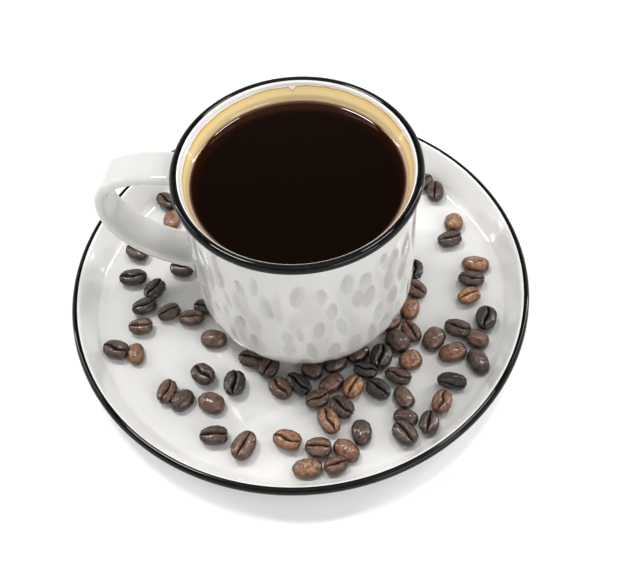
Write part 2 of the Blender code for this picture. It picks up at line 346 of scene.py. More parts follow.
class Recipe(Nodes):
    """A material's node tree round one plain shader."""

    def __init__(self, name: str) -> None:
        """Start a material.

        Args:
            name: The material's name.
        """
        self.material = bpy.data.materials.new(name)
        self.material.use_nodes = True
        super().__init__(self.material.node_tree)
        self.shader = self.tree.nodes["Principled BSDF"]

    def set(self, **sockets: object) -> None:
        """Set or join the shader's sockets, an underscore standing for a space in a name."""
        for name, source in sockets.items():
            self.feed(self.shader.inputs[name.replace("_", " ")], source)

    def place(self, centre: Vector = Vector((0.0, 0.0, 0.0)),
              stretch: Triple = (1.0, 1.0, 1.0)) -> Socket:
        """Object coordinates measured from a centre.

        Args:
            centre: The point that becomes the pattern's origin.
            stretch: Factors on the three coordinates.

        Returns:
            The coordinates' socket.
        """
        inputs = {"Vector": self.node("TexCoord").outputs["Object"],
                  "Location": [-c * s for c, s in zip(centre, stretch)], "Scale": stretch}
        return self.node("Mapping", inputs).outputs["Vector"]

    def attribute(self, name: str) -> Socket:
        """A number stored on the mesh."""
        return self.node("Attribute", attribute_name=name).outputs["Fac"]

    def bump(self, height: Socket, distance: float, strength: float = 1.0) -> None:
        """Fine relief on the shader's normal.

        Args:
            height: The relief from 0 to 1.
            distance: Metres that it stands for.
            strength: Share of it that shows.
        """
        made = self.node("Bump", {"Height": height, "Distance": distance, "Strength": strength})
        self.set(Normal=made.outputs["Normal"])


@dataclass(frozen=True)
class WhiteGlaze:
    """Glossy off-white glaze, uneven in the large, and darker in the dimples, partly as pooled
    glaze and partly as painted shade.
    """

    name: str
    thick: Colour
    thin: Colour
    pooled_and_shaded: Colour = (0.515, 0.506, 0.482)

    def make(self) -> Material:
        """Build the material.

        Returns:
            The material.
        """
        recipe = Recipe(self.name)
        place = recipe.place()
        even = recipe.ramp(recipe.noise(place, 70.0, 4.0), (0.35, self.thin), (0.65, self.thick))
        # The base colour darkens in the dimples: partly pooled glaze, partly painted shade.
        recipe.set(Base_Color=recipe.blend(recipe.attribute("pool_and_shade"), even, self.pooled_and_shaded),
                   Roughness=0.09, IOR=1.5, Coat_Weight=0.35, Coat_Roughness=0.04)
        recipe.bump(recipe.noise(place, 60.0, 1.0), 0.00008)
        return recipe.material


@dataclass(frozen=True)
class BlackGlaze:
    """The dark line of glaze over both lips, worn a shade browner where it is thin."""

    name: str = "black_rim_glaze"
    thick: Colour = (0.002, 0.002, 0.0025)
    thin: Colour = (0.008, 0.007, 0.0065)

    def make(self) -> Material:
        """Build the material.

        Returns:
            The material.
        """
        recipe = Recipe(self.name)
        place = recipe.place()
        clouds = recipe.noise(place, 260.0, 5.0, 0.6)
        recipe.set(Base_Color=recipe.ramp(clouds, (0.45, self.thick), (0.75, self.thin)),
                   Roughness=0.05, IOR=1.5, Specular_IOR_Level=0.24)
        recipe.bump(recipe.noise(place, 180.0, 2.0), 0.00003)
        return recipe.material


@dataclass(frozen=True)
class StainedGlaze:
    """White glaze inside the lip, lighter than the same glaze outside as painted light, with the
    tan film that the drink left when it was swirled.
    """

    name: str = "stained_glaze"
    # Painted light: this white is lighter than the mug's glaze outside, for the light on the inner
    # wall.
    glaze: Colour = (0.93, 0.93, 0.92)
    film: Colour = (0.92, 0.61, 0.18)
    pale: Colour = (0.91, 0.70, 0.36)
    line: Colour = (0.42, 0.21, 0.040)
    tide: float = 0.0783         # mean height of the film's upper edge
    tilt: float = 0.024          # rise of that edge for each metre towards its high side
    high_side: float = radians(60)
    wave: float = 0.0011         # how far that edge wanders up and down
    span: float = 0.0040         # height that the colours are laid over
    drip: float = 0.0002         # sideways place of the white drip at the back
    drip_width: float = 0.0014
    drip_drop: float = 0.0014

    def make(self) -> Material:
        """Build the material.

        Returns:
            The material.
        """
        recipe = Recipe(self.name)
        place = recipe.place(MUG_CENTRE)
        axes = recipe.parts(place)
        height = recipe.math("MULTIPLY_ADD", axes["X"], -self.tilt * cos(self.high_side), axes["Z"])
        height = recipe.math("MULTIPLY_ADD", axes["Y"], -self.tilt * sin(self.high_side), height)
        wander = recipe.noise(place, 160.0, 4.0, 0.6)
        height = recipe.math("MULTIPLY_ADD", wander, self.wave, height)
        height = recipe.math("MULTIPLY_ADD", self.drip_share(recipe, axes), self.drip_drop, height)
        start = 0.5 - (self.tide + self.wave / 2) / self.span
        share = recipe.math("MULTIPLY_ADD", height, 1 / self.span, start)
        bands = recipe.ramp(share, (0.10, self.pale), (0.32, self.film), (0.41, self.film),
                            (0.455, self.line), (0.495, self.line), (0.53, self.pale),
                            (0.58, self.glaze))
        mottle = recipe.math("MULTIPLY", recipe.noise(place, 420.0, 5.0, 0.65), 0.30)
        recipe.set(Base_Color=recipe.blend(mottle, bands, self.pale), Roughness=0.14, IOR=1.5,
                   Coat_Weight=0.3, Coat_Roughness=0.05)
        recipe.bump(recipe.noise(place, 60.0, 1.0), 0.00005)
        return recipe.material

    def drip_share(self, recipe: Recipe, axes: bpy.types.bpy_prop_collection) -> Socket:
        """How near a point is to the drip's middle line at the back of the mug, from 0 to 1.

        Args:
            recipe: The material that is being built.
            axes: The coordinates from the mug's middle.

        Returns:
            The share's socket.
        """
        aside = recipe.math("ABSOLUTE", recipe.math("SUBTRACT", axes["X"], self.drip))
        near = recipe.math("MULTIPLY_ADD", aside, -1 / self.drip_width, 1.0)
        return recipe.math("MULTIPLY", recipe.math("MAXIMUM", near, 0.0),
                           recipe.math("GREATER_THAN", axes["Y"], 0.0))


@dataclass(frozen=True)
class CoffeeFinish:
    """Black coffee: almost black, with a painted red-brown reflection of the stained wall near its
    edge, wider at the back, and thin where it climbs the wall.
    """

    name: str = "black_coffee"
    deep: Colour = (0.0050, 0.0020, 0.0010)
    painted_reflection_brown: Colour = (0.0270, 0.0056, 0.0013)
    amber: Colour = (0.070, 0.018, 0.0025)
    thin: Colour = (0.36, 0.22, 0.13)
    film: Colour = (0.66, 0.50, 0.29)
    radius: float = 0.0386
    wander: float = 0.04         # how unevenly the painted reflection ends
    reflection_backward: float = 2.0        # how much wider the painted reflection is at the back, for each metre
    narrowing: float = 0.9

    def make(self) -> Material:
        """Build the material.

        Returns:
            The material.
        """
        recipe = Recipe(self.name)
        flat = recipe.place(MUG_CENTRE, (1.0, 1.0, 0.0))
        away = recipe.node("VectorMath", {0: flat}, operation="LENGTH").outputs["Value"]
        axes = recipe.parts(recipe.place())
        share = recipe.math("MULTIPLY", away, 1 / self.radius)
        share = recipe.math("MULTIPLY_ADD", recipe.noise(flat, 90.0, 2.0), self.wander, share)
        share = recipe.math("MULTIPLY_ADD", axes["Y"], self.reflection_backward, share)
        share = recipe.math("MULTIPLY", share, self.narrowing)
        # Painted reflection: the red-brown near the wall, wider at the back, stands for the stained
        # wall mirrored in the drink.
        surface = recipe.ramp(share, (0.82, self.deep), (0.985, self.painted_reflection_brown))
        height = recipe.math("MULTIPLY_ADD", axes["Z"], 1 / COFFEE_CLIMB,
                             -COFFEE_LEVEL / COFFEE_CLIMB)
        edge = recipe.ramp(height, (0.05, self.painted_reflection_brown), (0.28, self.amber), (0.40, self.thin),
                           (0.95, self.film))
        risen = recipe.ramp(height, (0.01, NONE), (0.08, FULL))
        recipe.set(Base_Color=recipe.blend(risen, surface, edge), Coat_Weight=risen, Roughness=0.03,
                   IOR=1.333, Specular_IOR_Level=0.22, Coat_Roughness=0.03)
        recipe.bump(recipe.noise(flat, 60.0, 1.0), 0.00002)
        return recipe.material


@dataclass(frozen=True)
class RoastFinish:
    """Skin of a roasted bean, with painted shade in its seam and towards its outline, and the pale
    chaff left in it.
    """

    name: str
    base: Colour
    dark: Colour
    chaff: Colour
    chaff_share: float
    roughness: float = 0.38

    def make(self) -> Material:
        """Build the material.

        Returns:
            The material.
        """
        recipe = Recipe("roast_" + self.name)
        place = recipe.place()
        skin = recipe.ramp(recipe.noise(place, 480.0, 6.0, 0.68, 0.5), (0.40, self.dark),
                           (0.50, self.base), (0.62, self.shade(self.base, 1.5)))
        specks = recipe.noise(place, 1100.0, 3.0, 0.7)
        specks = recipe.ramp(specks, (0.54, NONE), (0.64, (0.55,) * 3))
        skin = recipe.blend(specks, skin, self.shade(self.base, 1.9))
        # Painted shade: the skin darkens towards the bean's outline, where its sides turn from the
        # light.
        painted_edge_shade = recipe.ramp(recipe.attribute("painted_edge_shade"), (0.40, NONE), (0.95, (0.85,) * 3))
        skin = recipe.blend(painted_edge_shade, skin, self.shade(self.dark, 0.6))
        # Painted shade: the skin darkens deep in the seam's groove.
        seam = recipe.ramp(recipe.attribute("seam"), (0.35, NONE), (0.85, FULL))
        skin = recipe.blend(seam, skin, self.shade(self.dark, 0.25))
        flecks = recipe.noise(place, 800.0, 4.0, 0.7)
        flecks = recipe.math("MULTIPLY", recipe.attribute("chaff"), flecks)
        flecks = recipe.ramp(flecks, (0.27, NONE), (0.36, (self.chaff_share,) * 3))
        recipe.set(Base_Color=recipe.blend(flecks, skin, self.chaff), Roughness=self.roughness,
                   IOR=1.45, Specular_IOR_Level=0.35, Coat_Weight=0.60, Coat_Roughness=0.13)
        recipe.bump(recipe.noise(place, 700.0, 5.0, 0.62), 0.00026, 0.9)
        return recipe.material

    def shade(self, colour: Colour, factor: float) -> Colour:
        """A colour made lighter or darker by a factor."""
        return tuple(factor * c for c in colour)


class Roast(Enum):
    """How far a bean was roasted."""

    BLACK = RoastFinish(
        "black", (0.030, 0.024, 0.022), (0.013, 0.010, 0.009), (0.15, 0.11, 0.09), 0.35, 0.32)
    DARK = RoastFinish(
        "dark", (0.070, 0.039, 0.027), (0.026, 0.014, 0.010), (0.24, 0.15, 0.10), 0.45)
    MEDIUM = RoastFinish(
        "medium", (0.130, 0.069, 0.045), (0.052, 0.026, 0.017), (0.36, 0.24, 0.16), 0.6)
    RED = RoastFinish(
        "red", (0.172, 0.075, 0.043), (0.076, 0.029, 0.017), (0.38, 0.24, 0.15), 0.55)
    LIGHT = RoastFinish(
        "light", (0.230, 0.115, 0.060), (0.104, 0.046, 0.024), (0.46, 0.31, 0.19), 0.65)
    GOLD = RoastFinish(
        "gold", (0.285, 0.140, 0.057), (0.140, 0.060, 0.024), (0.54, 0.38, 0.22), 0.65)


# Saucer


@dataclass
class Saucer:
    """Round saucer: flat well, leaning wall, rounded lip with a dark line, and a foot ring."""

    radius: float = 0.0900
    height: float = 0.0160
    well_radius: float = 0.0780
    underside: float = 0.0009
    corner: float = 0.0050
    lean: float = 60.0           # degrees of the wall above the horizontal
    lip: float = 0.0017
    foot_outer: float = 0.0560
    foot_inner: float = 0.0500
    foot_ease: float = 0.0004    # how far each side of the ring leans in towards the table
    foot_rise: float = 0.0003    # depth of the slope between the underside and the ring
    foot_round: float = 0.0006   # width of that slope
    line_radius: float = 0.0876  # inner edge of the dark line
    line_height: float = 0.0140  # lower edge of the dark line on the outside
    steps: int = 288

    def profile(self) -> Outline:
        """Outline from the middle of the well, over the lip and back under to the axis.

        Returns:
            The outline for the lathe.
        """
        middle = (0.0, FLOOR_HEIGHT)
        inner = arc(self.well_radius, FLOOR_HEIGHT + self.corner, self.corner,
                    -90.0, self.lean - 90.0, 14)
        lip = arc(self.radius - self.lip, self.height - self.lip, self.lip,
                  90.0 + self.lean, self.lean - 90.0, 18)
        under = arc(self.well_radius, self.underside + 2 * self.corner, 2 * self.corner,
                    self.lean - 100.0, -90.0, 14)
        line = [middle] + straight(middle, (self.well_radius - 0.004, FLOOR_HEIGHT), 24)
        line += inner + straight(inner[-1], lip[0], 6)[:-1] + lip
        line += straight(lip[-1], under[0], 5)[:-1] + under
        line += straight(under[-1], (self.foot_outer + self.foot_round, self.underside), 4)
        eased = self.underside - self.foot_rise
        line += [(self.foot_outer, eased), (self.foot_outer - self.foot_ease, 0.0)]
        line += [(self.foot_inner + self.foot_ease, 0.0), (self.foot_inner, eased)]
        line += [(self.foot_inner - self.foot_round, self.underside), (0.0, self.underside)]
        return line

    def build(self) -> Piece:
        """Turn the saucer on the lathe.

        Returns:
            The saucer, not yet glazed.
        """
        body = lathe("saucer_glazed", self.profile(), self.steps)
        smooth(body)
        return body

    def dress(self, body: Piece, white: Material, black: Material) -> None:
        """Glaze the saucer white, with a dark line over its lip.

        Args:
            body: The turned saucer.
            white: The glaze of the whole.
            black: The glaze of the line.
        """
        body.data.materials.append(white)
        body.data.materials.append(black)
        centres = face_centres(body)
        away = np.hypot(centres[:, 0], centres[:, 1])
        on_line = (away > self.line_radius) & (centres[:, 2] > self.line_height)
        body.data.polygons.foreach_set("material_index", on_line.astype(np.int32))
        settle_piece(body, "saucer", "saucer")


# Mug


@dataclass(frozen=True)
class Dimple:
    """One scoop pressed in the mug's wall: turn (radians), height, half sizes, depth and slant."""

    turn: float
    height: float
    half_width: float
    half_height: float
    depth: float
    lean: float


@dataclass
class Handle:
    """Flat strap that leaves the wall under the lip and comes back to it low down."""

    turn: float = radians(170)
    root: float = 0.0400
    reach: float = 0.0730
    top: float = 0.0758
    middle: float = 0.0560
    bottom: float = 0.0275
    width_top: float = 0.0136
    width_bottom: float = 0.0158
    thickness: float = 0.0038
    top_power: float = 2.7
    bottom_power: float = 1.9
    fillet: float = 0.0042
    lift: float = 0.30           # share of the fillet above the strap, under the lip
    fade: float = 0.0016         # depth inside the wall at which the fillet has gone
    rounding: float = 0.46       # of the thickness, on the section's corners
    close_length: float = 0.008  # part of the path by each joint that has short steps
    close_step: float = 0.0005
    far_step: float = 0.0014

    def path(self) -> np.ndarray:
        """Middle of the strap, its stations closer together by both joints.

        Returns:
            Rows of (distance from the axis, height), top joint first.
        """
        quarter = np.linspace(0.0, pi / 2, 400)
        span = self.reach - self.root
        upper, lower = (
            np.c_[self.root + span * np.sin(quarter) ** (2 / power),
                  self.middle + (end - self.middle) * np.cos(quarter) ** (2 / power)]
            for end, power in ((self.top, self.top_power), (self.bottom, self.bottom_power)))
        line = np.vstack([upper, lower[-2::-1]])
        along = np.r_[0.0, np.cumsum(np.hypot(*np.diff(line, axis=0).T))]
        close = np.arange(0.0, self.close_length, self.close_step)
        far_end = along[-1] - self.close_length
        far_count = int((along[-1] - 2 * self.close_length) / self.far_step)
        far = np.linspace(self.close_length, far_end, far_count)
        stations = np.r_[close, far, along[-1] - close[::-1]]
        return np.c_[np.interp(stations, along, line[:, 0]), np.interp(stations, along, line[:, 1])]

    def headings(self, path: np.ndarray) -> np.ndarray:
        """Slope of the path at each station, in radians from outwards towards upwards."""
        run = np.gradient(path, axis=0)
        return np.unwrap(np.arctan2(run[:, 1], run[:, 0]))

    def build(self) -> Piece:
        """Extrude a rounded section along the path, ring by ring, and flare it to the wall.

        Returns:
            The strap in its place by a mug on the world's axis.
        """
        path = self.path()
        headings = self.headings(path)
        deselect_all()
        bpy.ops.mesh.primitive_plane_add(size=1.0, rotation=(0.0, pi / 2, 0.0))
        strap = bpy.context.object
        strap.name = strap.data.name = "mug_strap"
        bpy.ops.object.transform_apply(location=False, rotation=True, scale=False)
        bpy.ops.object.mode_set(mode="EDIT")
        bpy.ops.transform.resize(value=(1.0, self.width_top, self.thickness),
                                 center_override=(0.0, 0.0, 0.0))
        bpy.ops.mesh.bevel(offset=self.rounding * self.thickness, segments=7, affect="VERTICES",
                           profile=0.5)
        bpy.ops.mesh.select_all(action="SELECT")
        self.split_long_edges(strap)
        start = (path[0][0], 0.0, path[0][1])
        bpy.ops.transform.translate(value=start)
        growth = (self.width_bottom / self.width_top) ** (1 / (len(path) - 1))
        for index in range(1, len(path)):
            step = (path[index][0] - path[index - 1][0], 0.0, path[index][1] - path[index - 1][1])
            centre = (path[index][0], 0.0, path[index][1])
            bpy.ops.mesh.extrude_region_move(TRANSFORM_OT_translate={"value": step})
            bpy.ops.transform.rotate(value=headings[index] - headings[index - 1], orient_axis="Y",
                                     center_override=centre)
            bpy.ops.transform.resize(value=(1.0, growth, 1.0), center_override=centre)
        bpy.ops.mesh.select_all(action="SELECT")
        bpy.ops.mesh.normals_make_consistent(inside=False)
        bpy.ops.object.mode_set(mode="OBJECT")
        self.flare(strap, path)
        strap.rotation_euler = (0.0, 0.0, self.turn)
        activate(strap)
        bpy.ops.object.transform_apply(location=True, rotation=True, scale=True)
        return strap

    def split_long_edges(self, strap: Piece) -> None:
        """Cut the section's two long edges so that the flare can bend them.

        Args:
            strap: The strap's first section, in edit mode.
        """
        bpy.ops.object.mode_set(mode="OBJECT")
        points = strap.data.vertices
        lengths = [(points[edge.vertices[0]].co - points[edge.vertices[1]].co).length
                   for edge in strap.data.edges]
        bpy.ops.object.mode_set(mode="EDIT")
        bpy.ops.mesh.select_mode(type="EDGE")
        bpy.ops.mesh.select_all(action="DESELECT")
        bpy.ops.object.mode_set(mode="OBJECT")
        for edge, length in zip(strap.data.edges, lengths):
            edge.select = length > self.thickness
        bpy.ops.object.mode_set(mode="EDIT")
        bpy.ops.mesh.subdivide(number_cuts=7)
        bpy.ops.mesh.select_mode(type="FACE")
        bpy.ops.mesh.select_all(action="SELECT")

    def flare(self, strap: Piece, path: np.ndarray) -> None:
        """Swell the strap where it nears the wall, so that the joint is a hollow fillet.

        Args:
            strap: The strap, standing out along +X.
            path: The middle of the strap.
        """
        places = vertex_places(strap)
        away = np.hypot(places[:, 0], places[:, 1]) - MUG_RADIUS
        depth = np.clip(self.fillet - away, 0.0, self.fillet)
        swell = self.fillet - np.sqrt(self.fillet ** 2 - depth ** 2)
        swell *= np.clip(1.0 + away / self.fade, 0.0, 1.0)
        nearest = np.argmin(np.hypot(places[:, None, 0] - path[None, :, 0],
                                     places[:, None, 2] - path[None, :, 1]), axis=1)
        across = places[:, 1]
        over = places[:, 2] - path[nearest, 1]
        half_width = self.width_top / 2
        outward = np.c_[np.sign(across) * np.abs(across / half_width) ** 5,
                        over / (self.thickness / 2)]
        outward /= np.maximum(np.hypot(outward[:, 0], outward[:, 1]), 1e-9)[:, None]
        places[:, 1] += outward[:, 0] * swell
        under_lip = (over > 0.0) & (places[:, 2] > self.middle)
        places[:, 2] += outward[:, 1] * swell * np.where(under_lip, self.lift, 1.0)
        move_vertices(strap, places)


@dataclass(frozen=True)
class Hollow:
    """The inside of the mug, which the mug and the coffee share."""

    floor: float = 0.0082
    corner: float = 0.0160
    radius: float = 0.0379
    throat_low: float = 0.0700   # above this the wall widens to the lip
    throat_top: float = 0.0760
    throat_radius: float = 0.0388

    def radius_at(self, height: float) -> float:
        """Radius of the hollow at a height in the throat."""
        share = (height - self.throat_low) / (self.throat_top - self.throat_low)
        return self.radius + share * (self.throat_radius - self.radius)


@dataclass
class Mug:
    """Thrown mug: recessed base, rounded corner, dimpled wall, rolled dark lip and strap handle."""

    base: float = FLOOR_HEIGHT + RESTING
    rim: float = 0.0814
    corner: float = 0.0200
    corner_centre: float = 0.0237
    lip: float = 0.0017
    lip_centre: float = 0.0422
    recess: float = 0.0008
    recess_radius: float = 0.0180
    line_radius: float = 0.0413  # inner edge of the dark line
    line_height: float = 0.0784  # lower edge of the dark line on the outside
    stain_height: float = 0.0700
    stain_radius: float = 0.0414
    wall_skin: float = 0.0004    # how near the wall's outside a point counts as on it
    wall_top: float = 0.0744     # the dimpled wall ends below this
    rows: tuple[float, ...] = (0.0630, 0.0510, 0.0385, 0.0265, 0.0150)
    row_count: int = 35
    row_stray: float = 0.0028
    turn_stray: float = 0.25     # of the distance between two dimples of a row
    gaps: float = 0.08           # share of the dimples left out
    sparse_gaps: float = 0.34    # the same to the left of the front
    full_width: float = 1.25     # growth of the dimples elsewhere
    full_height: float = 1.15
    edge_power: float = 1.8      # squareness of a dimple's outline along its height
    pool_and_shade_edge: float = 0.30      # share of a dimple over which the glaze darkens, partly pooled glaze and partly painted shade
    half_widths: Range = (0.0015, 0.0026)
    half_heights: Range = (0.0044, 0.0062)
    depths: Range = (0.00018, 0.00030)
    leans: Range = (-0.16, 0.10)
    sparse_sector: Range = (radians(195), radians(266))
    steps: int = 384
    hollow: Hollow = Hollow()

    def profile(self) -> Outline:
        """Outline from the base's middle, up the wall, over the lip and down inside.

        Returns:
            The outline for the lathe.
        """
        hollow = self.hollow
        corner = arc(MUG_RADIUS - self.corner, self.corner_centre, self.corner, -78.0, 0.0, 34)
        lip_z = self.rim - self.lip
        lip = arc(self.lip_centre, lip_z, self.lip, -60.0, 180.0, 22)
        neck = (MUG_RADIUS, lip_z - 1.5 * self.lip)
        recess_z = self.base + self.recess
        throat = (hollow.throat_radius, hollow.throat_top)
        line = [(0.0, recess_z), (self.recess_radius - self.recess, recess_z)]
        line += [(self.recess_radius, self.base), (self.recess_radius + 0.004, self.base + 0.00008)]
        line += corner + straight(corner[-1], neck, 72) + lip + straight(lip[-1], throat, 7)
        line += straight(throat, (hollow.radius, hollow.throat_low), 7)
        line += arc(hollow.radius - hollow.corner, hollow.floor + hollow.corner, hollow.corner,
                    0.0, -90.0, 10)
        return line + [(0.0, hollow.floor)]

    def dimples(self) -> list[Dimple]:
        """Scoops in staggered rows round the wall, sparser to the left of the front.

        Returns:
            The scoops, the same in each run.
        """
        draw = Random(7)
        found = []
        for row, height in enumerate(self.rows):
            for place in range(self.row_count):
                spot = place + 0.5 * (row % 2) + draw.uniform(-self.turn_stray, self.turn_stray)
                turn = 2 * pi * spot / self.row_count
                sparse = self.sparse_sector[0] < turn % (2 * pi) < self.sparse_sector[1]
                half_width = draw.uniform(*self.half_widths)
                half_height = draw.uniform(*self.half_heights)
                middle = height + draw.uniform(-self.row_stray, self.row_stray)
                depth = draw.uniform(*self.depths)
                lean = draw.uniform(*self.leans)
                if not sparse:
                    half_width *= self.full_width
                    half_height *= self.full_height
                if draw.random() > (self.sparse_gaps if sparse else self.gaps):
                    found.append(Dimple(turn, middle, half_width, half_height, depth, lean))
        return found

    def pressed(self, places: np.ndarray) -> tuple[np.ndarray, np.ndarray]:
        """How the dimples fall on points of the wall.

        Args:
            places: Points of the mug, still about the world's axis.

        Returns:
            How far each point is pressed in, and how far inside a dimple it lies, from 0 to 1.
        """
        turn = np.arctan2(places[:, 1], places[:, 0])
        depths = np.zeros(len(places))
        pools_and_shade = np.zeros(len(places))
        for dimple in self.dimples():
            above = places[:, 2] - dimple.height
            aside = ((turn - dimple.turn + pi) % (2 * pi) - pi) * MUG_RADIUS - dimple.lean * above
            share = (aside / dimple.half_width) ** 2
            share += np.abs(above / dimple.half_height) ** self.edge_power
            within = np.clip(1.0 - share, 0.0, 1.0)
            depths = np.maximum(depths, dimple.depth * within ** 0.9)
            pools_and_shade = np.maximum(pools_and_shade, np.clip(within / self.pool_and_shade_edge, 0.0, 1.0))
        return depths, pools_and_shade

    def on_wall(self, places: np.ndarray) -> np.ndarray:
        """Which points lie on the outside of the wall, where the dimples are.

        Args:
            places: Points of the mug, still about the world's axis.

        Returns:
            True for each point on the wall.
        """
        away = np.hypot(places[:, 0], places[:, 1])
        drop = np.clip(self.corner_centre - places[:, 2], 0.0, self.corner)
        outside = MUG_RADIUS - self.corner + np.sqrt(self.corner ** 2 - drop ** 2)
        return (np.abs(away - outside) < self.wall_skin) & (places[:, 2] < self.wall_top)

    def press(self, body: Piece) -> None:
        """Press the dimples into the outside of the wall.

        No operator follows such scoops, so the wall's vertices are moved inwards by hand.

        Args:
            body: The turned mug, still about the world's axis.
        """
        places = vertex_places(body)
        depths, _ = self.pressed(places)
        away = np.maximum(np.hypot(places[:, 0], places[:, 1]), 1e-9)
        places[:, :2] -= places[:, :2] / away[:, None] * (depths * self.on_wall(places))[:, None]
        move_vertices(body, places)

    def store_pools_and_shade(self, body: Piece) -> None:
        """Store on the mesh where the glaze darkens in the dimples, partly pooled glaze and partly
        painted shade.

        Args:
            body: The finished mug, still about the world's axis.
        """
        places = vertex_places(body)
        _, pools_and_shade = self.pressed(places)
        store(body, "pool_and_shade", pools_and_shade * self.on_wall(places))

    def paint(self, body: Piece, materials: list[Material]) -> None:
        """Give the faces their glaze: white outside, dark on the lip, stained inside it.

        Args:
            body: The turned mug, still about the world's axis.
            materials: The white, the black and the stained glaze.
        """
        for material in materials:
            body.data.materials.append(material)
        centres = face_centres(body)
        away = np.hypot(centres[:, 0], centres[:, 1])
        height = centres[:, 2]
        glaze = np.zeros(len(centres), np.int32)
        glaze[(away < self.stain_radius) & (height > self.stain_height)] = 2
        glaze[(away > self.line_radius) & (height > self.line_height)] = 1
        body.data.polygons.foreach_set("material_index", glaze)

    def build(self, materials: list[Material]) -> Piece:
        """Turn and press the body, glaze it, and join the strap to it as one piece.

        Args:
            materials: The white, the black and the stained glaze.

        Returns:
            The mug in its place on the saucer.
        """
        body = lathe("mug_glazed", self.profile(), self.steps)
        self.press(body)
        self.paint(body, materials)
        strap = Handle().build()
        strap.data.materials.append(materials[0])
        apply_modifier(body, "BOOLEAN", operation="UNION", solver="EXACT", object=strap)
        bpy.data.objects.remove(strap)
        self.store_pools_and_shade(body)
        smooth(body, 50.0)
        body.location = MUG_CENTRE
        return body

    def dress(self, body: Piece) -> None:
        """Fix the glazed mug in the frame."""
        settle_piece(body, "cup", "cup")


# Coffee


@dataclass
class Coffee:
    """The drink, filling the mug to its level, with its surface drawn up along the wall."""

    reach: float = 0.0021        # how far from the wall the surface starts to climb
    climb_power: float = 2.6
    inset: float = 0.00006       # air between the drink and the mug
    steps: int = 256
    hollow: Hollow = Hollow()

    def profile(self) -> Outline:
        """Outline from the bottom's middle, up the wall and back over the surface.

        Returns:
            The outline for the lathe.
        """
        hollow = self.hollow
        top = COFFEE_LEVEL + COFFEE_CLIMB
        edge = hollow.radius_at(top) - self.inset
        line = [(0.0, hollow.floor + self.inset)]
        line += arc(hollow.radius - hollow.corner, hollow.floor + hollow.corner,
                    hollow.corner - self.inset, -90.0, 0.0, 10)
        line += [(hollow.radius - self.inset, hollow.throat_low), (edge, top)]
        for share in np.linspace(0.0, 1.0, 15)[1:]:
            rise = COFFEE_CLIMB * (1 - share) ** self.climb_power
            line.append((edge - self.reach * share, COFFEE_LEVEL + rise))
        return line + straight(line[-1], (0.0, COFFEE_LEVEL), 20)

    def build(self) -> Piece:
        """Turn the drink and set it in the mug.

        Returns:
            The drink in its place.
        """
        body = lathe("coffee_drink", self.profile(), self.steps)
        smooth(body)
        body.location = MUG_CENTRE
        return body

    def dress(self, body: Piece, finish: Material) -> None:
        """Colour the drink and fix it in the frame.

        Args:
            body: The drink.
            finish: Its material.
        """
        body.data.materials.append(finish)
        settle_piece(body, "coffee", "coffee")


# Beans


@dataclass(frozen=True)
class BeanShape:
    """How one model of a bean is formed."""

    sway: float = 0.10           # sideways sweep of the seam, in half widths
    bends: float = 1.0           # half waves of the seam
    wrinkle: float = 0.012       # height of the skin's folds, in widths
    fold: float = 4.0            # folds in each width
    egg: float = 0.06            # how much fuller one end is
    seed: int = 1


class Form(Enum):
    """The models that all beans are copies of."""

    SEAM_S = BeanShape(0.16, 2.0, 0.014, 3.5, 0.05, 1)
    SEAM_C = BeanShape(0.10, 1.0, 0.018, 4.5, 0.08, 2)
    SEAM_WAVY = BeanShape(0.13, 3.0, 0.020, 4.0, -0.05, 3)
    SEAM_PLAIN = BeanShape(0.04, 1.0, 0.010, 3.0, -0.08, 4)
    FOLDED = BeanShape(0.12, 2.0, 0.032, 5.0, 0.06, 5)


class Up(Enum):
    """Side of a bean that faces up, as a turn about its length in degrees."""

    SEAM = 0.0
    BACK = 180.0
    SIDE = 75.0


@dataclass(frozen=True)
class Bean:
    """One bean's place on the saucer in millimetres and degrees, and what it is."""

    node: int
    x: float
    y: float
    turn: float
    up: Up
    length: float
    width: float
    roast: Roast
    form: Form


BLACK, DARK, MEDIUM, RED, LIGHT, GOLD = Roast
SEAM_S, SEAM_C, SEAM_WAVY, SEAM_PLAIN, FOLDED = Form
SEAM, BACK, SIDE = Up

